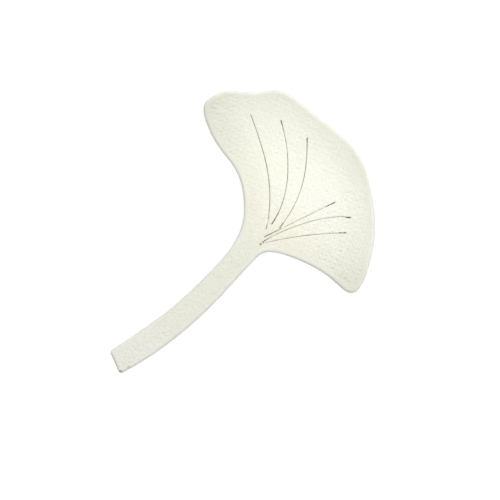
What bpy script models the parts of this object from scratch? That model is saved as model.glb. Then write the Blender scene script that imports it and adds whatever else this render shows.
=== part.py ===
"""A ginkgo leaf ornament: one slab of white clay, cut out, softened at its edges, cupped, scored and fired.

The values are in millimetres and the scene is in metres. +Y runs from the stem's cut end to the fan's outer
rim, +X points to the lobe on the stem's right, and +Z is up. The origin is under the middle of the leaf's
box, on the surface that the leaf lies on.
"""

import math

import bmesh
import bpy
from mathutils import Vector
from mathutils.geometry import delaunay_2d_cdt, interpolate_bezier

MM = 0.001

# The slab: rolled to one thickness, with its cut edges rounded by a damp sponge
THICKNESS = 3.6
TOP_EDGE_RADIUS = 1.1
UNDER_EDGE_RADIUS = 0.6

# The cupping: the midline and the stem lie flat, while both lobes and the outer rim rise
MIDLINE_X = 2.0
FLAT_HALF_WIDTH = 12.0
LOBE_REACH_X = 46.3
LOBE_RISE = 4.5
RIM_START_Y = 43.6
RIM_TOP_Y = 62.6
RIM_RISE = 2.0

# The six scored vein lines
GROOVE_WIDTH = 0.5
GROOVE_DEPTH = 0.25

# How finely the surface is divided
OUTLINE_STEP = 1.9
OUTLINE_TURN = math.radians(18)
VEIN_STEP = 2.4
TOP_EDGE_STEPS = 3
UNDER_EDGE_STEPS = 2
INNER_STEP = 2.8
INNER_MARGIN = 1.4

CLAY_COLOUR = (0.87, 0.87, 0.80, 1.0)
CLAY_ROUGHNESS = 0.55

# Anchors are x and y in millimetres, then the way the line runs there in degrees from +X
OUTLINE = (
    # the stem's right edge, from its square-cut end up to the fan
    (3.0, -62.5, 338),
    (4.8, -61.7, 73),
    (8.5, -46.4, 80),
    (10.8, -19.4, 90),
    (10.0, 6.6, 90),
    # the fan's right underside, out to its lobe
    (12.4, 11.7, 40),
    (20.4, 16.3, 24),
    (34.0, 20.5, 9),
    (42.8, 21.2, 6),
    (46.3, 24.7, 92),
    # the outer rim, with a shallow dip before the left lobe
    (43.6, 33.2, 118),
    (37.3, 43.1, 129),
    (28.2, 52.0, 143),
    (17.2, 59.1, 151),
    (6.0, 62.6, 177),
    (-14.6, 61.1, 185),
    (-23.4, 60.1, 186),
    (-29.2, 58.2, 211),
    (-33.6, 53.3, 234),
    (-39.2, 47.6, 219),
    (-43.5, 43.6, 234),
    (-46.3, 35.9, 263),
    # the fan's left underside, hollowed down into the stem
    (-45.1, 32.4, 312),
    (-38.0, 28.2, 337),
    (-28.1, 25.7, 352),
    (-20.0, 24.5, 344),
    (-10.2, 19.1, 320),
    (-2.6, 10.4, 297),
    (0.8, -3.4, 274),
    (1.0, -20.4, 269),
    # the stem's left edge
    (-0.7, -38.9, 260),
    (-4.4, -58.4, 257),
    (-3.6, -59.9, 338),
)

# The vein lines run from their outer ends to the base of the fan, from the left lobe's to the right lobe's
VEINS = (
    ((-30.7, 43.7, -24), (-12.7, 34.2, -33), (4.6, 16.9, -59)),
    ((-20.7, 50.2, -33), (-7.0, 40.1, -41), (0.4, 31.1, -58), (4.8, 19.6, -80)),
    ((-8.7, 52.6, -46), (0.5, 41.5, -56), (5.4, 32.4, -70), (8.0, 20.7, -82)),
    ((16.1, 42.6, -109), (6.5, 14.2, -109)),
    ((24.7, 42.8, -138), (16.6, 33.8, -122), (10.2, 20.9, -113), (7.2, 12.1, -104)),
    ((27.5, 37.4, -134), (17.0, 25.4, -129), (8.4, 12.7, -121)),
)


def clear_scene():
    for obj in list(bpy.data.objects):
        bpy.data.objects.remove(obj, do_unlink=True)


def direction(degrees):
    angle = math.radians(degrees)
    return Vector((math.cos(angle), math.sin(angle)))


def smooth_run(start, end, step, most_turn):
    """Points from one anchor up to the next, which is left out, along the arc-like curve between them."""
    first, last = Vector(start[:2]), Vector(end[:2])
    turn = math.radians((end[2] - start[2] + 180) % 360 - 180)
    chord = (last - first).length
    handle = chord / (3 * math.cos(turn / 4) ** 2)
    pieces = math.ceil(max(chord / step, abs(turn) / most_turn))
    points = interpolate_bezier(
        first,
        first + handle * direction(start[2]),
        last - handle * direction(end[2]),
        last,
        pieces + 1,
    )
    return [point.to_2d() for point in points[:-1]]


def outline_points():
    points = []
    for start, end in zip(OUTLINE, OUTLINE[1:] + OUTLINE[:1]):
        points += smooth_run(start, end, OUTLINE_STEP, OUTLINE_TURN)
    return points


def vein_points(anchors):
    points = []
    for start, end in zip(anchors, anchors[1:]):
        points += smooth_run(start, end, VEIN_STEP, OUTLINE_TURN)
    return points + [Vector(anchors[-1][:2])]


def left_normals(points, closed):
    """The unit vector to the left of the line at each point: on the outline, it points into the leaf."""
    normals = []
    last = len(points) - 1
    for i in range(len(points)):
        before = points[i - 1] if closed or i else points[0]
        after = points[(i + 1) % len(points)] if closed or i < last else points[last]
        along = (after - before).normalized()
        normals.append(Vector((-along.y, along.x)))
    return normals


def edge_profile():
    """(inset, height) pairs up the slab's rounded edge, from its underside to its top face."""
    profile = []
    for i in range(UNDER_EDGE_STEPS + 1):
        angle = math.pi / 2 * i / UNDER_EDGE_STEPS
        inset = UNDER_EDGE_RADIUS * (1 - math.sin(angle))
        profile.append((inset, UNDER_EDGE_RADIUS * (1 - math.cos(angle))))
    for i in range(TOP_EDGE_STEPS + 1):
        angle = math.pi / 2 * i / TOP_EDGE_STEPS
        inset = TOP_EDGE_RADIUS * (1 - math.cos(angle))
        profile.append((inset, THICKNESS - TOP_EDGE_RADIUS * (1 - math.sin(angle))))
    return profile


def lift(point):
    """How far the slab is raised off the surface at a point of the leaf."""
    lobe = (abs(point.x - MIDLINE_X) - FLAT_HALF_WIDTH) / (LOBE_REACH_X - FLAT_HALF_WIDTH)
    rim = (point.y - RIM_START_Y) / (RIM_TOP_Y - RIM_START_Y)
    return LOBE_RISE * max(lobe, 0) ** 3 + RIM_RISE * max(rim, 0) ** 2


def distance_to_line(point, line):
    best = math.inf
    for start, end in zip(line, line[1:]):
        along = end - start
        share = (point - start).dot(along) / along.length_squared
        nearest = start + along * min(max(share, 0), 1)
        best = min(best, (point - nearest).length)
    return best


def groove_depth(point, veins):
    nearest = min(distance_to_line(point, vein) for vein in veins)
    return GROOVE_DEPTH * max(1 - 2 * nearest / GROOVE_WIDTH, 0)


def groove_lines(vein):
    """The groove's bottom line and the closed line round its two lips."""
    normals = left_normals(vein, closed=False)
    half = GROOVE_WIDTH / 2
    left = [point + half * normal for point, normal in zip(vein, normals)]
    right = [point - half * normal for point, normal in zip(vein, normals)]
    start_tip = vein[0] - half * (vein[1] - vein[0]).normalized()
    end_tip = vein[-1] + half * (vein[-1] - vein[-2]).normalized()
    lips = [start_tip] + left + [end_tip] + right[::-1]
    return vein, lips


def inside(point, ring):
    """Whether a point lies in a closed line, by counting the crossings to its right."""
    crossings = 0
    for start, end in zip(ring, ring[1:] + ring[:1]):
        if (start.y > point.y) != (end.y > point.y):
            share = (point.y - start.y) / (end.y - start.y)
            crossings += point.x < start.x + share * (end.x - start.x)
    return crossings % 2 == 1


def inner_points(ring, lines):
    """A triangular lattice over the leaf, clear of its edge and of the given lines."""
    row_height = INNER_STEP * math.sqrt(3) / 2
    closed_ring = ring + ring[:1]
    rows = math.ceil(max(abs(point.y) for point in ring) / row_height)
    columns = math.ceil(max(abs(point.x) for point in ring) / INNER_STEP)
    points = []
    for row in range(-rows, rows + 1):
        for column in range(-columns, columns + 1):
            x = (column + row % 2 / 2) * INNER_STEP
            point = Vector((x, row * row_height))
            if not inside(point, ring) or distance_to_line(point, closed_ring) < INNER_MARGIN:
                continue
            if all(distance_to_line(point, line) >= INNER_MARGIN for line in lines):
                points.append(point)
    return points


def divided_face(ring, lines, loops):
    """Triangles that fill the ring, with edges along the lines and loops. The ring's points come first."""
    points = list(ring)
    edges = [(i, (i + 1) % len(ring)) for i in range(len(ring))]
    for line in lines:
        first = len(points)
        points += line
        edges += [(first + i, first + i + 1) for i in range(len(line) - 1)]
    for loop in loops:
        first = len(points)
        points += loop
        edges += [(first + i, first + (i + 1) % len(loop)) for i in range(len(loop))]
    points += inner_points(ring, lines)
    inside_only = 1
    found, _, faces, _, _, _ = delaunay_2d_cdt(points, edges, [], inside_only, 1e-5)
    return found, faces


def add_points(mesh, points, height):
    return [mesh.verts.new((point.x * MM, point.y * MM, height(point) * MM)) for point in points]


def add_face(mesh, ring, ring_verts, lines, loops, height, faces_up):
    """Fills one side of the slab inside its edge, on the vertices that the edge already has."""
    points, faces = divided_face(ring, lines, loops)
    verts = ring_verts + add_points(mesh, points[len(ring) :], height)
    for face in faces:
        corners = [verts[i] for i in (face if faces_up else face[::-1])]
        mesh.faces.new(corners)


def add_edge_band(mesh, lower, upper):
    count = len(lower)
    for i in range(count):
        after = (i + 1) % count
        mesh.faces.new((lower[i], lower[after], upper[after]))
        mesh.faces.new((lower[i], upper[after], upper[i]))


def leaf_mesh():
    outline = outline_points()
    inward = left_normals(outline, closed=True)
    veins = [vein_points(anchors) for anchors in VEINS]
    grooves = [groove_lines(vein) for vein in veins]

    mesh = bmesh.new()
    profile = edge_profile()
    rings = []
    for inset, height in profile:
        ring = [point + inset * normal for point, normal in zip(outline, inward)]
        rings.append((ring, add_points(mesh, ring, lambda point: lift(point) + height)))
    for (_, lower), (_, upper) in zip(rings, rings[1:]):
        add_edge_band(mesh, lower, upper)

    under_ring, under_verts = rings[0]
    add_face(mesh, under_ring, under_verts, [], [], lift, faces_up=False)
    top_ring, top_verts = rings[-1]
    lines = [bottom for bottom, _ in grooves]
    lips = [loop for _, loop in grooves]

    def top_height(point):
        return lift(point) + THICKNESS - groove_depth(point, veins)

    add_face(mesh, top_ring, top_verts, lines, lips, top_height, faces_up=True)
    return mesh


def clay_material():
    material = bpy.data.materials.new("white clay")
    material.use_nodes = True
    shader = material.node_tree.nodes["Principled BSDF"]
    shader.inputs["Base Color"].default_value = CLAY_COLOUR
    shader.inputs["Roughness"].default_value = CLAY_ROUGHNESS
    shader.inputs["Metallic"].default_value = 0.0
    return material


def add_leaf():
    shape = leaf_mesh()
    data = bpy.data.meshes.new("leaf")
    shape.to_mesh(data)
    shape.free()
    data.shade_smooth()
    data.set_sharp_from_angle(angle=math.radians(35))
    data.materials.append(clay_material())
    leaf = bpy.data.objects.new("leaf", data)
    bpy.context.scene.collection.objects.link(leaf)


clear_scene()
add_leaf()
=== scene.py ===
"""The looks of the ginkgo leaf ornament: the fired slab with its cloth imprint and stained score lines."""

import math

import bpy
import numpy as np
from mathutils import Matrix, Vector, noise
from mathutils.geometry import delaunay_2d_cdt


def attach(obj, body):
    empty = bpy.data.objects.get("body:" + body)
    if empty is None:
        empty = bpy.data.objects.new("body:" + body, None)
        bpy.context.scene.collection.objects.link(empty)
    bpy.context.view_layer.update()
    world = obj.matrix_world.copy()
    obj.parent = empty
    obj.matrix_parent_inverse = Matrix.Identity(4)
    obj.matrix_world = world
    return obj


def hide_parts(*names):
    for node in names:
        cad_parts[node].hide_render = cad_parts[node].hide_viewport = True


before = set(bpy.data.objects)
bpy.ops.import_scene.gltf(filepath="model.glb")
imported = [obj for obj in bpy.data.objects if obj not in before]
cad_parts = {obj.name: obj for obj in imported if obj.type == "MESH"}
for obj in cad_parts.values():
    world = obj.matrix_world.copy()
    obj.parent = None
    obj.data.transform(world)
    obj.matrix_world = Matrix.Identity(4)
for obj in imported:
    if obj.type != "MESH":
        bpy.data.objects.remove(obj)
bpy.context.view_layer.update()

# Sizes are in millimetres, and MM turns them into the scene's metres
MM = 0.001

# The slab, as in the part: its thickness, its rounded edges and its cupping
THICKNESS = 3.6
TOP_EDGE_RADIUS = 1.1
UNDER_EDGE_RADIUS = 0.6
MIDLINE_X = 2.0
FLAT_HALF_WIDTH = 12.0
LOBE_REACH_X = 46.3
LOBE_RISE = 4.5
RIM_START_Y = 43.6
RIM_TOP_Y = 62.6
RIM_RISE = 2.0

# How deep the score lines are cut
GROOVE_DEPTH = 0.18

# The cloth imprint: two sets of threads, given by the way they run in degrees from +X and by their spacing
WARP_ANGLE = -22
WEFT_ANGLE = 62
WARP_PITCH = 1.35
WEFT_PITCH = 1.36

# Each set wavers slowly and quickly: how far, as a share of its spacing, over what distance, and a seed
WARP_WAVER = ((0.35, 9.0, 3.1), (0.2, 2.6, 7.7))
WEFT_WAVER = ((0.35, 11.0, 5.3), (0.2, 2.9, 2.2))

# A thread's crown between two crossings: an exponent below 1 fills it out. By chance a crown is lower than
# the highest by up to the given share, and each set has a seed of its own for it.
CROWN_EXPONENT = 0.7
THREAD_VARIETY = 0.5
WARP_SEED = 0.0
WEFT_SEED = 57.0

# Factors that scatter pairs of whole numbers evenly between 0 and 1
SCATTER_FIRST = 12.9898
SCATTER_SECOND = 78.233
SCATTER_WIDELY = 43758.5453

# The warp's depth beside the weft's, how much of it is lost where the warp is faintest, and that patch. As
# all the patches below, it is given by x, y, its reach in x, its reach in y and how much there is of it.
WARP_SHARE = 0.6
WARP_LOSS = 0.6
WARP_FAINTEST = (-16, 48, 26, 17, 0.8)

# The imprint's depth, and as shares of it how hard the cloth was pressed in, how that drifts and the slubs in
# its threads. The last two have a size and a seed.
IMPRINT_DEPTH = 0.262
PRESSED = 0.78
PRESSED_DRIFT = 0.35
PRESSED_DRIFT_SIZE = 13.0
PRESSED_SEED = 1.7
SLUBS = 0.35
SLUB_SIZE = 1.1
SLUB_SEED = 9.4

# The imprint fades out over this distance towards the sponged edges, and the underside has this share of it
IMPRINT_FADE = 1.6
UNDERSIDE_SHARE = 0.6

# Patches where it was pressed in deeper, or less deep where the amount is below 0
PRESSED_DEEPER = (
    (35, 26, 11, 9, 1.35),
    (28, 43, 12, 11, 0.4),
    (-16, 50, 24, 14, -0.3),
    (3, -22, 14, 38, -0.5),
)

# How finely the surface is divided
OUTLINE_STEP = 0.45
LARGEST_TURN = math.radians(6)
SCORE_STEP = 0.2
TOP_EDGE_STEPS = 7
UNDER_EDGE_STEPS = 4
TOP_STEP = 0.34
UNDER_STEP = 0.62

# Rows of points run along each groove, and rings of them round each dot, at these shares of the way out
GROOVE_ROWS = (-1.0, -0.5, 0.0, 0.5, 1.0)
DOT_RINGS = (0.5, 1.0)
DOT_SIDES = 8

# A face's free points keep this far from its ring, as a share of their step, and from its rows
GAP_TO_RING = 0.55
GAP_TO_ROWS = 0.2

# Points closer than this are one, and only the triangles inside the ring are kept
SAME_POINT = 1e-6
INSIDE_ONLY = 1

# A groove is looked for in a box of its line's size round the line's mean point, and this far outside it
GROOVE_MARGIN = 8.0

# The photograph's frame: its width in millimetres at the outline's height, the leaf point that lies at its
# middle, and how far it is turned
PHOTO_WIDTH = 193.3
PHOTO_MIDDLE = (6.06, 6.47)
PHOTO_TURN = math.radians(45)
CAMERA_HEIGHT = 1200.0
CAMERA_REACH = 10000.0
OUTLINE_HEIGHT = 2.5
SENSOR_WIDTH = 36.0

# Anchors are x and y in millimetres, then the way the line runs there in degrees from +X
OUTLINE = (
    # the stem's right edge, from its square-cut end up to the fan
    (3.0, -62.5, 338),
    (4.8, -61.7, 73),
    (8.5, -46.4, 80),
    (10.8, -19.4, 90),
    (10.0, 6.6, 90),
    # the fan's right underside, out to its lobe
    (12.4, 11.7, 40),
    (20.4, 16.3, 24),
    (34.0, 20.5, 9),
    (42.8, 21.2, 6),
    (46.3, 24.7, 92),
    # the outer rim, with a shallow dip before the left lobe
    (43.6, 33.2, 118),
    (37.3, 43.1, 129),
    (28.2, 52.0, 143),
    (17.2, 59.1, 151),
    (6.0, 62.6, 177),
    (-14.6, 61.1, 185),
    (-23.4, 60.1, 186),
    (-29.2, 58.2, 211),
    (-33.6, 53.3, 234),
    (-39.2, 47.6, 219),
    (-43.5, 43.6, 234),
    (-46.3, 35.9, 263),
    # the fan's left underside, hollowed down into the stem
    (-45.1, 32.4, 312),
    (-38.0, 28.2, 337),
    (-28.1, 25.7, 352),
    (-20.0, 24.5, 344),
    (-10.2, 19.1, 320),
    (-2.6, 10.4, 297),
    (0.8, -3.4, 274),
    (1.0, -20.4, 269),
    # the stem's left edge
    (-0.7, -38.9, 260),
    (-4.4, -58.4, 257),
    (-3.6, -59.9, 338),
)

# Each score line runs from its outer end to the fan's base, through anchors as the outline has. Its strokes
# are given in threes: how far along the line, how wide the groove is there and how dark its stain is.
SCORES = (
    {
        "anchors": ((-30.7, 43.6, -24), (-16.9, 36.7, -29), (-4.4, 27.7, -43), (4.6, 16.8, -58)),
        "strokes": (
            (0, 0.28, 0.85), (3, 0.31, 0.95), (6, 0.27, 0.85), (11, 0.3, 0.95), (20, 0.34, 1.0),
            (25, 0.29, 0.95), (28, 0.36, 1.0), (31, 0.27, 0.9), (37, 0.28, 1.0), (41.1, 0.25, 0.85),
            (41.4, 0.2, 0.4), (42.2, 0.18, 0.35), (42.4, 0.18, 0.0), (43.2, 0.2, 0.0), (43.5, 0.38, 0.9),
            (45, 0.36, 0.9),
        ),
    },
    {
        "anchors": (
            (-20.7, 50.2, -31), (-14.1, 46.1, -35), (-5.3, 38.5, -46), (1.5, 29.2, -61), (4.9, 19.6, -79),
        ),
        "strokes": (
            (0, 0.66, 1.0), (0.9, 0.6, 1.0), (1.6, 0.38, 1.0), (3, 0.35, 0.95), (4.6, 0.23, 0.85),
            (7.5, 0.28, 0.9), (10, 0.21, 0.85), (12, 0.25, 0.9), (14, 0.28, 1.0), (22, 0.27, 1.0),
            (29, 0.23, 0.95), (32.5, 0.31, 1.0), (35, 0.32, 1.0), (37, 0.46, 1.0), (41, 0.62, 1.0),
        ),
    },
    {
        "anchors": ((-8.8, 52.5, -45), (1.2, 40.7, -57), (6.1, 30.2, -73), (8.1, 20.7, -82)),
        "strokes": (
            (0, 0.64, 1.0), (1.2, 0.46, 1.0), (3.5, 0.32, 1.0), (6, 0.24, 0.95), (9, 0.28, 1.0),
            (15, 0.26, 1.0), (20, 0.23, 0.95), (23, 0.18, 0.8), (27, 0.23, 0.9), (32.5, 0.19, 0.85),
            (34.2, 0.25, 1.0), (35, 0.41, 1.0), (37, 0.5, 1.0),
        ),
    },
    {
        "anchors": ((16.2, 42.6, -109), (6.5, 14.2, -109)),
        "strokes": (
            (0, 0.62, 1.0), (1.2, 0.54, 1.0), (3.6, 0.4, 1.0), (4.2, 0.24, 0.4), (4.8, 0.2, 0.4),
            (5.2, 0.21, 0.75), (8, 0.18, 0.75), (11.6, 0.26, 0.9), (13, 0.21, 0.85), (16.2, 0.17, 0.7),
            (17.6, 0.16, 0.6), (18.4, 0.3, 0.85), (19.2, 0.16, 0.6), (20, 0.26, 0.8), (21.2, 0.2, 0.6),
            (21.5, 0.18, 0.0), (22.4, 0.18, 0.0), (22.7, 0.22, 0.8), (25, 0.29, 0.95), (27.5, 0.4, 1.0),
            (30, 0.48, 1.0),
        ),
    },
    {
        "anchors": (
            (24.7, 42.8, -138), (23.2, 41.5, -144), (22.6, 41.2, -142), (19.3, 37.3, -129),
            (14.9, 30.9, -119), (8.6, 16.8, -109), (7.35, 12.1, -103),
        ),
        "strokes": (
            (0, 0.6, 1.0), (0.5, 0.7, 1.0), (1.9, 0.64, 1.0), (2.2, 0.27, 0.8), (5, 0.22, 0.8),
            (6, 0.24, 0.8), (7.2, 0.19, 0.65), (8.5, 0.19, 0.75), (10.4, 0.17, 0.5), (11.2, 0.18, 0.3),
            (12, 0.22, 0.8), (14, 0.24, 0.9), (17, 0.2, 0.85), (21, 0.18, 0.8), (25.5, 0.24, 0.85),
            (27, 0.2, 0.8), (28.9, 0.22, 0.7), (29.3, 0.36, 0.9), (29.8, 0.2, 0.5), (32.3, 0.22, 0.6),
            (33.4, 0.34, 0.95), (36, 0.48, 1.0),
        ),
    },
    {
        "anchors": ((27.5, 37.3, -134), (17.4, 25.7, -128), (8.4, 12.8, -122)),
        "strokes": (
            (0, 0.72, 1.0), (0.8, 0.66, 1.0), (1.2, 0.26, 0.6), (1.6, 0.44, 1.0), (2.7, 0.44, 1.0),
            (3.1, 0.22, 0.35), (3.7, 0.44, 1.0), (4.3, 0.22, 0.3), (4.9, 0.42, 0.95), (5.5, 0.22, 0.3),
            (6.1, 0.38, 0.9), (6.6, 0.22, 0.4), (7.1, 0.26, 0.8), (8, 0.2, 0.75), (11, 0.2, 0.85),
            (15, 0.25, 1.0), (18, 0.24, 0.95), (22, 0.2, 0.85), (22.8, 0.24, 0.9), (24.5, 0.16, 0.65),
            (26.2, 0.21, 0.8), (28, 0.27, 0.95), (28.8, 0.18, 0.7), (31, 0.16, 0.6),
        ),
    },
)

# Warm patches, where stain was wiped off and a trace of it stayed, and a faint one along the stem
WARM_TRACES = (
    (-18, 30, 9, 6, 0.7),
    (-6, 21, 8, 7, 0.9),
    (15, 20, 11, 8, 1.0),
    (17, 31, 7, 5, 0.6),
    (5, -10, 14, 40, 0.25),
)

# Patches of painted shade: on both lobes, along the fan's edges, in the left half and on the stem
PAINTED_SHADE_PATCHES = (
    (-45, 35, 5, 6, 0.5),
    (-31, 31, 13, 7, 0.59),
    (-20, 38, 8, 8, 0.12),
    (-15, 24, 9, 7, 0.52),
    (-7, 16, 6, 6, 0.45),
    (42, 26, 8, 11, 0.68),
    (41, 24, 6, 5, 0.4),
    (29, 18, 14, 4, 0.15),
    (32, 18.8, 13, 2.8, 0.38),
    (3, -24, 12, 26, 0.52),
    (2, -36, 7, 7, 0.1),
    (5, -60, 3, 4, 0.3),
    (31, 44, 8, 6, 0.2),
    (20, 51, 9, 7, 0.22),
    (-2, 41, 10, 8, 0.2),
    (12, 58, 15, 6, 0.54),
    (-5, 60, 14, 6, 0.3),
    (-8, 46, 16, 12, 0.3),
)

# Patches of painted light, where the clay is made paler as if more brightly lit: on the fan and on the stem
PAINTED_LIGHT_PATCHES = (
    (15, 37, 14, 11, 0.8),
    (4, -15, 14, 30, 0.25),
    (0, -48, 10, 9, 1.1),
)

# Painted highlight along the rounded edges: how far in it reaches, how steeply it falls off and how much
EDGE_REACH = 3.0
EDGE_FALLOFF = 1.5
EDGE_HIGHLIGHT = 0.85

# Spots of painted shade on the stem's corner and its edge, drawn with the stain's colours
CORNER_SHADE_SPOTS = (
    (3.85, -62.05, 0.62, 0.62, 0.5),
    (4.9, -58.6, 0.4, 0.4, 0.45),
)

# The patch where the clay's fine grain is smoother, on the stem
SMOOTHED = (3, -26, 16, 34, 0.3)

# Dots where the tool pricked the clay: x, y, radius and darkness
DOTS = (
    (7.4, 10.9, 0.5, 1.0),
    (7.8, 12.0, 0.32, 0.8),
    (10.9, 43.5, 0.36, 0.3),
)


def direction(degrees):
    angle = np.radians(degrees)
    return np.array((np.cos(angle), np.sin(angle)))


def smooth_run(start, end, step):
    """Points from one anchor up to the next, which is left out, along the arc-like curve between them."""
    first, last = np.array(start[:2]), np.array(end[:2])
    turn = math.radians((end[2] - start[2] + 180) % 360 - 180)
    chord = np.linalg.norm(last - first)
    handle = chord / (3 * math.cos(turn / 4) ** 2)
    pieces = math.ceil(max(chord / step, abs(turn) / LARGEST_TURN))
    t = (np.arange(pieces) / pieces)[:, None]
    leaving = first + handle * direction(start[2])
    arriving = last - handle * direction(end[2])
    curve = (1 - t) ** 3 * first + 3 * (1 - t) ** 2 * t * leaving
    return curve + 3 * (1 - t) * t**2 * arriving + t**3 * last


def open_line(anchors, step):
    """Points along the curve through the anchors, from the first to the last."""
    runs = [smooth_run(start, end, step) for start, end in zip(anchors, anchors[1:])]
    return np.vstack(runs + [np.array([anchors[-1][:2]])])


def closed_line(anchors, step):
    """Points along the curve through the anchors and back to the first, which isn't repeated."""
    return open_line(anchors + anchors[:1], step)[:-1]


def unit(vectors):
    return vectors / np.linalg.norm(vectors, axis=1)[:, None]


def left_normals(points, closed):
    """The unit vector to the left of the line at each point: on the outline, it points into the leaf."""
    if closed:
        along = np.roll(points, -1, axis=0) - np.roll(points, 1, axis=0)
    else:
        along = np.gradient(points, axis=0)
    along = unit(along)
    return np.column_stack((-along[:, 1], along[:, 0]))


def run_lengths(points):
    steps = np.linalg.norm(np.diff(points, axis=0), axis=1)
    return np.concatenate(([0], np.cumsum(steps)))


def distance_to_line(points, line):
    """Each point's distance to a line of short segments, and how far along the line the nearest place is."""
    start, along = line[:-1], np.diff(line, axis=0)
    squared = (along**2).sum(axis=1)
    lengths = run_lengths(line)
    nearest = np.full(len(points), np.inf)
    travelled = np.zeros(len(points))
    for i in range(len(along)):
        share = np.clip((points - start[i]) @ along[i] / squared[i], 0, 1)
        apart = points - start[i] - share[:, None] * along[i]
        distance = np.sqrt((apart**2).sum(axis=1))
        closer = distance < nearest
        nearest[closer] = distance[closer]
        travelled[closer] = (lengths[i] + share * math.sqrt(squared[i]))[closer]
    return nearest, travelled


def inside(points, ring):
    """Whether each point lies in a closed line, by counting the crossings to its right."""
    crossings = np.zeros(len(points), int)
    for start, end in zip(ring, np.roll(ring, -1, axis=0)):
        spans = (start[1] > points[:, 1]) != (end[1] > points[:, 1])
        if spans.any():
            share = (points[:, 1] - start[1]) / (end[1] - start[1])
            crossings += spans & (points[:, 0] < start[0] + share * (end[0] - start[0]))
    return crossings % 2 == 1


def smoothstep(value):
    value = np.clip(value, 0, 1)
    return value * value * (3 - 2 * value)


def lift(points):
    """How far the slab is raised off the surface at each point of the leaf."""
    lobe = (np.abs(points[:, 0] - MIDLINE_X) - FLAT_HALF_WIDTH) / (LOBE_REACH_X - FLAT_HALF_WIDTH)
    rim = (points[:, 1] - RIM_START_Y) / (RIM_TOP_Y - RIM_START_Y)
    return LOBE_RISE * np.maximum(lobe, 0) ** 3 + RIM_RISE * np.maximum(rim, 0) ** 2


def soft_noise(points, size, seed):
    """Smooth noise from -1 to 1 whose lumps are about the given size."""
    places = [Vector((x / size, y / size, seed)) for x, y in points]
    return np.array([noise.noise(place) for place in places])


def chance(first, second):
    """A fixed random number from 0 to 1 for each pair of whole numbers."""
    spread = np.sin(first * SCATTER_FIRST + second * SCATTER_SECOND) * SCATTER_WIDELY
    return spread - np.floor(spread)


def thread(across, along, seed):
    """One set of threads: rounded across, and over and under the other set along their length."""
    count = np.floor(across)
    rounded = np.cos(np.pi * (across - count - 0.5))
    over = 0.5 + 0.5 * np.cos(np.pi * (along - 0.5 + count))
    crossing = np.floor((along + 0.5 + count) / 2)
    return rounded * over**CROWN_EXPONENT * (1 - THREAD_VARIETY * chance(count + seed, crossing))


def threads_crossed(points, angle, pitch, waver):
    """How many threads of one set lie between the leaf's origin and each point."""
    crossed = points @ direction(angle + 90) / pitch
    for share, size, seed in waver:
        crossed += share * soft_noise(points, size, seed)
    return crossed


def cloth(points):
    """The woven cloth's surface at each point, from 0 between its threads to 1 on their highest crowns."""
    u = threads_crossed(points, WARP_ANGLE, WARP_PITCH, WARP_WAVER)
    v = threads_crossed(points, WEFT_ANGLE, WEFT_PITCH, WEFT_WAVER)
    warp = WARP_SHARE * (1 - WARP_LOSS * patch(points, *WARP_FAINTEST))
    return np.maximum(warp * thread(u, v, WARP_SEED), thread(v, u + 1, WEFT_SEED))


def imprint(points, from_edge):
    """How deep the cloth pressed into the clay, in millimetres, fading where the edge was sponged."""
    pressed = PRESSED + PRESSED_DRIFT * soft_noise(points, PRESSED_DRIFT_SIZE, PRESSED_SEED)
    pressed += patches(points, PRESSED_DEEPER)
    slubs = SLUBS * soft_noise(points, SLUB_SIZE, SLUB_SEED)
    kept = smoothstep(from_edge / IMPRINT_FADE)
    return IMPRINT_DEPTH * (cloth(points) * pressed + slubs) * kept


def stroke_at(score, travelled):
    """A score line's half width and the darkness of its stain at places along it."""
    places, widths, darkness = zip(*score["strokes"])
    return np.interp(travelled, places, widths) / 2, np.interp(travelled, places, darkness)


def groove_depth(share):
    """A groove's depth from its middle, at share 0, straight up to its lip, at share 1."""
    return GROOVE_DEPTH * np.clip(1 - share, 0, 1)


def groove_stain(share):
    """How much of the stain there is: all of it up to halfway out, and none at the lip."""
    return np.clip(2 - 2 * share, 0, 1)


def scores_at(points):
    """The depth of the score lines and dots and the darkness of their stain at each point."""
    depth = np.zeros(len(points))
    stain = np.zeros(len(points))
    for score in SCORES:
        line = open_line(score["anchors"], SCORE_STEP)
        reach = np.ptp(line, axis=0) / 2 + GROOVE_MARGIN
        near = (np.abs(points - line.mean(axis=0)) < reach).all(axis=1)
        distance, travelled = distance_to_line(points[near], line)
        half, darkness = stroke_at(score, travelled)
        share = distance / half
        depth[near] = np.maximum(depth[near], groove_depth(share))
        stain[near] = np.maximum(stain[near], darkness * groove_stain(share))
    for x, y, radius, darkness in DOTS:
        share = np.linalg.norm(points - (x, y), axis=1) / radius
        depth = np.maximum(depth, darkness * groove_depth(share))
        stain = np.maximum(stain, darkness * groove_stain(share))
    return depth, stain


def patch(points, x, y, reach_x, reach_y, amount):
    """A soft oval patch that falls to nothing round its middle."""
    return amount * np.exp(-(((points[:, 0] - x) / reach_x) ** 2) - ((points[:, 1] - y) / reach_y) ** 2)


def patches(points, places):
    return sum(patch(points, *place) for place in places)


def score_rows():
    """Rows of points along each score line, from one lip of its groove to the other."""
    rows = []
    for score in SCORES:
        line = open_line(score["anchors"], SCORE_STEP)
        normals = left_normals(line, closed=False)
        half, _ = stroke_at(score, run_lengths(line))
        for share in GROOVE_ROWS:
            rows.append(line + (share * half)[:, None] * normals)
    return rows


def dot_points():
    """A middle and rings of points for each dot."""
    points = []
    for x, y, radius, _ in DOTS:
        points.append((x, y))
        for share in DOT_RINGS:
            for i in range(DOT_SIDES):
                points.append((x, y) + share * radius * direction(360 / DOT_SIDES * i))
    return np.array(points)


def lattice(ring, step):
    """A triangular lattice of points inside a closed line."""
    row_height = step * math.sqrt(3) / 2
    low, high = ring.min(axis=0), ring.max(axis=0)
    rows = np.arange(math.ceil((high[1] - low[1]) / row_height))
    columns = np.arange(math.ceil((high[0] - low[0]) / step) + 1)
    column, row = np.meshgrid(columns, rows)
    x = low[0] + (column - row % 2 / 2) * step
    y = low[1] + row * row_height
    points = np.column_stack((x.ravel(), y.ravel()))
    return points[inside(points, ring)]


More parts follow.
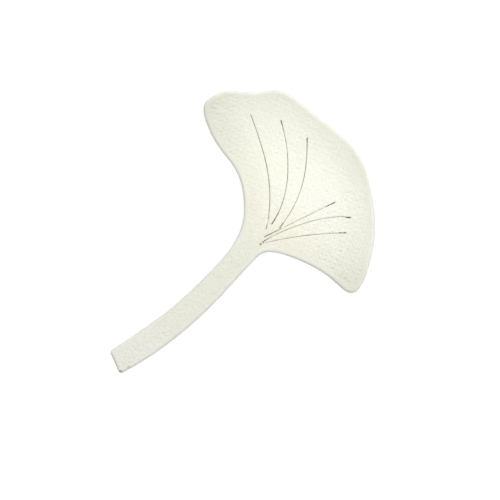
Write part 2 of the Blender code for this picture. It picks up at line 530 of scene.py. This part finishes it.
def clear_of(points, others, gap):
    """The points that lie further than the gap from all the others, judged by square cells as wide as it."""
    taken = set()
    for x, y in np.floor(others / gap).astype(int):
        for i in (-1, 0, 1):
            for j in (-1, 0, 1):
                taken.add((x + i, y + j))
    cells = np.floor(points / gap).astype(int)
    free = np.array([(x, y) not in taken for x, y in cells])
    return points[free]


def fill_ring(ring, rows, extra, step):
    """Points and triangles that fill a ring, with edges along the rows. The ring's own points come first."""
    edges = [(i, (i + 1) % len(ring)) for i in range(len(ring))]
    groups = [ring]
    count = len(ring)
    for row in rows:
        edges += [(count + i, count + i + 1) for i in range(len(row) - 1)]
        groups.append(row)
        count += len(row)
    if len(extra):
        groups.append(extra)
    free = lattice(ring, step)
    free = clear_of(free, ring, GAP_TO_RING * step)
    if rows:
        free = clear_of(free, np.vstack(rows), GAP_TO_ROWS)
    groups.append(free)
    points = [Vector(point) for point in np.vstack(groups)]
    found, _, faces, _, _, _ = delaunay_2d_cdt(points, edges, [], INSIDE_ONLY, SAME_POINT)
    return np.array([tuple(point) for point in found]), np.array(faces)


def edge_profile():
    """(inset, height) pairs up the slab's rounded edge, from its underside to its top face."""
    profile = []
    for angle in np.linspace(0, math.pi / 2, UNDER_EDGE_STEPS + 1):
        inset = UNDER_EDGE_RADIUS * (1 - math.sin(angle))
        profile.append((inset, UNDER_EDGE_RADIUS * (1 - math.cos(angle))))
    profile.append((0.0, (THICKNESS + UNDER_EDGE_RADIUS - TOP_EDGE_RADIUS) / 2))
    for angle in np.linspace(0, math.pi / 2, TOP_EDGE_STEPS + 1):
        inset = TOP_EDGE_RADIUS * (1 - math.cos(angle))
        profile.append((inset, THICKNESS - TOP_EDGE_RADIUS * (1 - math.sin(angle))))
    return profile


def band_faces(lower, upper, count):
    """Triangles between two rings of vertices, given by their first indices."""
    i = np.arange(count)
    after = (i + 1) % count
    first = np.column_stack((lower + i, lower + after, upper + after))
    second = np.column_stack((lower + i, upper + after, upper + i))
    return np.vstack((first, second))


def fill_face(ring, rows, extra, step, outline):
    """A face that fills a ring: its points, its triangles and how far in from the outline each point lies."""
    points, faces = fill_ring(ring, rows, extra, step)
    inset, _ = distance_to_line(points, np.vstack((outline, outline[:1])))
    return points, faces, inset


def join_up(rings, under, top):
    """All the points, heights and triangles as one surface. The under face lies in the first ring and the top
    face in the last, and each face's first points are its ring's own."""
    count = len(rings[0][0])
    total = len(rings) * count
    points = [ring for ring, _ in rings]
    heights = [height for _, height in rings]
    faces = [band_faces(i * count, (i + 1) * count, count) for i in range(len(rings) - 1)]
    sides = ((under, 0, -1), (top, total - count, 1))
    for (face_points, face_heights, triangles), ring_start, order in sides:
        on_ring = triangles < count
        triangles = np.where(on_ring, triangles + ring_start, triangles - count + total)
        faces.append(triangles[:, ::order])
        points.append(face_points[count:])
        heights.append(face_heights[count:])
        total += len(face_points) - count
    return np.vstack(points), np.concatenate(heights), np.vstack(faces)


def top_only(values, total):
    """The last values out of a total number, with 0 for all the points before them."""
    return np.concatenate((np.zeros(total - len(values)), values))


def leaf_surface():
    """The leaf's vertices and triangles, and by name the values that its material reads at each vertex."""
    outline = closed_line(OUTLINE, OUTLINE_STEP)
    inward = left_normals(outline, closed=True)
    count = len(outline)
    rings = []
    insets = []
    for inset, height in edge_profile():
        ring = outline + inset * inward
        rings.append((ring, lift(ring) + height))
        insets.append(np.full(count, inset))

    under, under_faces, under_inset = fill_face(rings[0][0], [], [], UNDER_STEP, outline)
    top, top_faces, top_inset = fill_face(rings[-1][0], score_rows(), dot_points(), TOP_STEP, outline)
    under_imprint = UNDERSIDE_SHARE * imprint(under, under_inset - UNDER_EDGE_RADIUS)
    top_imprint = imprint(top, top_inset - TOP_EDGE_RADIUS)
    depth, stain = scores_at(top)
    under_height = lift(under) + under_imprint
    top_height = lift(top) + THICKNESS - top_imprint - depth
    flat, heights, faces = join_up(rings, (under, under_height, under_faces), (top, top_height, top_faces))

    insets += [under_inset[count:], top_inset[count:]]
    near_edge = np.clip(1 - np.concatenate(insets) / EDGE_REACH, 0, 1) ** EDGE_FALLOFF
    values = {
        # The stain also carries the spots of painted shade at the stem's corner
        "stain": top_only(stain[count:], len(flat)) + patches(flat, CORNER_SHADE_SPOTS),
        # The imprint's depth, which the material also turns into painted shade in its hollows
        "imprint": top_only(top_imprint[count:] / IMPRINT_DEPTH, len(flat)),
        "streaks": patch(flat, *WARP_FAINTEST),
        "warmth": patches(flat, WARM_TRACES),
        # Painted shade on the lobes, the fan's edges, the left half and the stem
        "painted_shade": patches(flat, PAINTED_SHADE_PATCHES),
        # Painted light on the fan and the stem
        "painted_light": patches(flat, PAINTED_LIGHT_PATCHES),
        # Painted highlight along the rounded edges
        "edge": EDGE_HIGHLIGHT * near_edge,
        "smoothed": patch(flat, *SMOOTHED),
    }
    return np.column_stack((flat, heights)), faces, values


def add_object(name, data):
    """A new object of the scene with the given data."""
    added = bpy.data.objects.new(name, data)
    bpy.context.scene.collection.objects.link(added)
    return added


def add_attribute(data, name, values):
    attribute = data.attributes.new(name, "FLOAT", "POINT")
    attribute.data.foreach_set("value", values.astype(np.float32))


def build_leaf():
    vertices, faces, values = leaf_surface()
    data = bpy.data.meshes.new("leaf_slab")
    data.from_pydata((vertices * MM).tolist(), [], faces.tolist())
    data.shade_smooth()
    for name, numbers in values.items():
        add_attribute(data, name, numbers)
    print(f"leaf: {len(vertices)} vertices, {len(faces)} triangles, repaired: {data.validate()}")
    return add_object("leaf_slab", data)


class Nodes:
    """A material's node tree, with short calls to add a node and to join sockets."""

    def __init__(self, material):
        material.use_nodes = True
        self.tree = material.node_tree
        self.shader = self.tree.nodes["Principled BSDF"]

    def feed(self, socket, value):
        """Links a socket to another one, or sets it to a plain value."""
        if isinstance(value, bpy.types.NodeSocket):
            self.tree.links.new(value, socket)
        else:
            socket.default_value = value

    def add(self, kind, inputs=None, **settings):
        node = self.tree.nodes.new(kind)
        for name, value in settings.items():
            setattr(node, name, value)
        for name, value in (inputs or {}).items():
            self.feed(node.inputs[name], value)
        return node

    def math(self, operation, first, second=0.0):
        node = self.add("ShaderNodeMath", {0: first, 1: second}, operation=operation)
        return node.outputs[0]

    def attribute(self, name):
        return self.add("ShaderNodeAttribute", attribute_name=name).outputs["Fac"]

    def noise(self, place, scale, detail, roughness):
        inputs = {"Vector": place, "Scale": scale, "Detail": detail, "Roughness": roughness}
        return self.add("ShaderNodeTexNoise", inputs).outputs["Fac"]

    def ramp(self, value, low, high, to_low=0.0, to_high=1.0):
        """The value, where its band from low to high is stretched to run from to_low to to_high."""
        inputs = {"Value": value, "From Min": low, "From Max": high, "To Min": to_low, "To Max": to_high}
        return self.add("ShaderNodeMapRange", inputs).outputs["Result"]

    def mix(self, share, first, second):
        """A colour between the first and the second, with the given share of the second."""
        node = self.add("ShaderNodeMix", {0: share, 6: first, 7: second}, data_type="RGBA")
        return node.outputs[2]

    def set(self, name, value):
        self.feed(self.shader.inputs[name], value)


# The clay's colours, from the one under all the others to the speckle on top of them; some are painted light
# and shade
CLAY = (0.876, 0.879, 0.768, 1.0)
CLAY_WARM = (0.902, 0.873, 0.714, 1.0)
# Painted light: the paler clay where the light is strongest
CLAY_PAINTED_LIGHT = (0.889, 0.887, 0.838, 1.0)
# Painted highlight along the rounded edges
CLAY_EDGE_HIGHLIGHT = (0.91, 0.91, 0.9, 1.0)
# Painted shade: the darker clay where the light falls off
CLAY_PAINTED_SHADE = (0.762, 0.765, 0.667, 1.0)
# Painted shade: a darker clay in the imprint's hollows
CLAY_SHADED_IN_HOLLOWS = (0.82, 0.82, 0.714, 1.0)
CLAY_GRAIN = (0.77, 0.768, 0.662, 1.0)

# How much of the last two shows: painted shade by imprint depth, and speckle where it is strongest
HOLLOW_SHADE_SHARE = 0.3
SPECKLE_TINT = 0.9

# The stain's colour where it is thin and where it is full, and the darkness from which one turns to the other
INK_THIN = (0.42, 0.41, 0.265, 1.0)
INK = (0.035, 0.031, 0.008, 1.0)
THIN_STAIN = 0.5

# The material's noises: how many lumps there are to a metre, their detail and their roughness
WARMTH_NOISE = (38.0, 3.0, 0.5)
GLOSS_NOISE = (220.0, 3.0, 0.5)
STAIN_NOISE = (1100.0, 3.0, 0.5)
SPECKLE_NOISE = (2400.0, 2.0, 0.6)
GRAIN_NOISE = (3000.0, 2.0, 0.6)
STREAK_NOISE = (3200.0, 2.0, 0.6)

# What the noises give: the band of the noise that is used, and the values at the band's two ends
WARMTH_DRIFT = (0.35, 0.65, -0.08, 0.08)
GLAZE_ROUGHNESS = (0.3, 0.7, 0.46, 0.6)
STAIN_BREAKS = (0.32, 0.6, 0.68, 1.0)
SPECKLE = (0.35, 0.65, 0.0, 1.0)

# How much rougher full stain is, how strongly the clay mirrors, and how high its grain is
STAIN_ROUGHNESS = 0.35
SPECULAR = 0.45
GRAIN_HEIGHT = 0.29

# The noise for the grain's streaks is squeezed by this much along the weft, which draws them out
STREAK_SQUEEZE = (0.45, 1.0, 1.0)


def clay_colour(nodes, place, rough_share):
    """The colour of the clay and its glaze, with painted light and painted shade, before any stain."""
    drift = nodes.ramp(nodes.noise(place, *WARMTH_NOISE), *WARMTH_DRIFT)
    warm = nodes.math("ADD", nodes.attribute("warmth"), drift)
    colour = nodes.mix(warm, CLAY, CLAY_WARM)
    # Painted light on the brightest patches
    colour = nodes.mix(nodes.attribute("painted_light"), colour, CLAY_PAINTED_LIGHT)
    # Painted highlight along the rounded edges
    colour = nodes.mix(nodes.attribute("edge"), colour, CLAY_EDGE_HIGHLIGHT)
    # Painted shade where the light falls off
    colour = nodes.mix(nodes.attribute("painted_shade"), colour, CLAY_PAINTED_SHADE)
    # Painted shade, deeper where the imprint is deeper
    hollow_shade = nodes.math("MULTIPLY", nodes.attribute("imprint"), HOLLOW_SHADE_SHARE)
    colour = nodes.mix(hollow_shade, colour, CLAY_SHADED_IN_HOLLOWS)
    speckle = nodes.ramp(nodes.noise(place, *SPECKLE_NOISE), *SPECKLE)
    speckle = nodes.math("MULTIPLY", speckle, rough_share)
    return nodes.mix(speckle, colour, nodes.mix(SPECKLE_TINT, colour, CLAY_GRAIN))


def stained(nodes, colour, stain):
    """The colour with stain over it, first thin and then full. The stain value also carries the painted shade
    at the stem's corner.
    """
    colour = nodes.mix(nodes.ramp(stain, 0.0, THIN_STAIN), colour, INK_THIN)
    return nodes.mix(nodes.ramp(stain, THIN_STAIN, 1.0), colour, INK)


def fine_grain(nodes, place, rough_share):
    """The bump of the clay's fine grain, drawn out into streaks along the weft where the warp is faintest."""
    grain = nodes.noise(place, *GRAIN_NOISE)
    turn = {"Vector": place, "Angle": -math.radians(WEFT_ANGLE)}
    along_weft = nodes.add("ShaderNodeVectorRotate", turn, rotation_type="Z_AXIS").outputs[0]
    squeeze = {0: along_weft, 1: STREAK_SQUEEZE}
    squeezed = nodes.add("ShaderNodeVectorMath", squeeze, operation="MULTIPLY").outputs[0]
    streaks = nodes.noise(squeezed, *STREAK_NOISE)
    height = nodes.mix(nodes.attribute("streaks"), grain, streaks)
    distance = nodes.math("MULTIPLY", rough_share, GRAIN_HEIGHT * MM)
    bump = nodes.add("ShaderNodeBump", {"Height": height, "Strength": 1.0, "Distance": distance})
    return bump.outputs["Normal"]


def clay_material():
    material = bpy.data.materials.new("fired white clay")
    nodes = Nodes(material)
    place = nodes.add("ShaderNodeTexCoord").outputs["Object"]
    rough_share = nodes.math("SUBTRACT", 1.0, nodes.attribute("smoothed"))
    breaks = nodes.ramp(nodes.noise(place, *STAIN_NOISE), *STAIN_BREAKS)
    # The stain here also holds the painted shade at the stem's corner
    stain = nodes.math("MULTIPLY", nodes.attribute("stain"), breaks)
    nodes.set("Base Color", stained(nodes, clay_colour(nodes, place, rough_share), stain))

    rough = nodes.ramp(nodes.noise(place, *GLOSS_NOISE), *GLAZE_ROUGHNESS)
    nodes.set("Roughness", nodes.math("ADD", rough, nodes.math("MULTIPLY", stain, STAIN_ROUGHNESS)))
    nodes.set("Specular IOR Level", SPECULAR)
    nodes.set("Normal", fine_grain(nodes, place, rough_share))
    return material


WHITE = (1.0, 1.0, 1.0, 1.0)

# The floor, which glows so that it is as white as the photograph's ground
FLOOR_HALF_WIDTH = 3000.0
FLOOR_COLOUR = (0.08, 0.08, 0.08, 1.0)
FLOOR_ROUGHNESS = 0.9
FLOOR_GLOW = 0.95

# The lights: a soft key behind the fan, given by its direction in degrees, a softbox overhead, a dim sky and
# an oval pool of light on the fan. The first two aim at one place on the fan.
AIM = (4.0, 36.0, 0.0)
KEY_AZIMUTH = 105
KEY_ELEVATION = 56
KEY_DISTANCE = 3000.0
KEY_SIZE = 1000.0
KEY_POWER = 51.9
BOX_HEIGHT = 1600.0
BOX_SIZE = 1400.0
BOX_POWER = 11.95
SKY_STRENGTH = 0.168
POOL_PLACE = (3.0, 39.4)
POOL_REACH = (45.0, 33.0)
POOL_SOFTNESS = 15.1
POOL_HEIGHT = 700.0
POOL_POWER = 3.93


def floor_material():
    material = bpy.data.materials.new("white table")
    nodes = Nodes(material)
    nodes.set("Base Color", FLOOR_COLOUR)
    nodes.set("Roughness", FLOOR_ROUGHNESS)
    nodes.set("Emission Color", WHITE)
    nodes.set("Emission Strength", FLOOR_GLOW)
    return material


def add_floor():
    half = FLOOR_HALF_WIDTH * MM
    data = bpy.data.meshes.new("floor")
    corners = [(-half, -half, 0), (half, -half, 0), (half, half, 0), (-half, half, 0)]
    data.from_pydata(corners, [], [(0, 1, 2, 3)])
    data.materials.append(floor_material())
    floor = add_object("floor", data)


def add_area_light(name, way, distance, size, power):
    """A round area light that shines on the fan from a distance, out along the direction that way gives."""
    data = bpy.data.lights.new(name, "AREA")
    data.shape = "DISK"
    data.size = size * MM
    data.energy = power
    light = add_object(name, data)
    light.location = (Vector(AIM) + distance * way) * MM
    light.rotation_euler = (-way).to_track_quat("-Z", "Y").to_euler()


def add_pool():
    """The soft oval pool of light, from a spot straight above it."""
    reach_x, reach_y = POOL_REACH
    data = bpy.data.lights.new("pool", "SPOT")
    data.energy = POOL_POWER
    data.spot_size = 2 * math.atan(reach_x / POOL_HEIGHT)
    data.spot_blend = 1.0
    data.shadow_soft_size = POOL_SOFTNESS * MM
    light = add_object("pool", data)
    light.location = Vector((*POOL_PLACE, POOL_HEIGHT)) * MM
    light.scale = (1.0, reach_y / reach_x, 1.0)


def add_sky():
    world = bpy.data.worlds.new("studio")
    world.use_nodes = True
    background = world.node_tree.nodes["Background"]
    background.inputs["Color"].default_value = WHITE
    background.inputs["Strength"].default_value = SKY_STRENGTH
    bpy.context.scene.world = world


def add_lights():
    elevation = math.radians(KEY_ELEVATION)
    x, y = math.cos(elevation) * direction(KEY_AZIMUTH)
    key_way = Vector((x, y, math.sin(elevation)))
    add_area_light("key", key_way, KEY_DISTANCE, KEY_SIZE, KEY_POWER)
    add_area_light("softbox", Vector((0.0, 0.0, 1.0)), BOX_HEIGHT, BOX_SIZE, BOX_POWER)
    add_pool()
    add_sky()


def add_camera():
    data = bpy.data.cameras.new("photo")
    data.sensor_width = SENSOR_WIDTH
    data.lens = SENSOR_WIDTH * (CAMERA_HEIGHT - OUTLINE_HEIGHT) / PHOTO_WIDTH
    data.clip_end = CAMERA_REACH * MM
    camera = add_object("photo", data)
    camera.location = Vector((*PHOTO_MIDDLE, CAMERA_HEIGHT)) * MM
    camera.rotation_euler = (0.0, 0.0, PHOTO_TURN)
    bpy.context.scene.camera = camera


def set_view():
    view = bpy.context.scene.view_settings
    view.view_transform = "Standard"
    view.look = "None"
    view.exposure = 0.0
    view.gamma = 1.0


leaf = build_leaf()
leaf.data.materials.append(clay_material())
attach(leaf, "root")
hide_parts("leaf")

add_floor()
add_lights()
add_camera()
set_view()
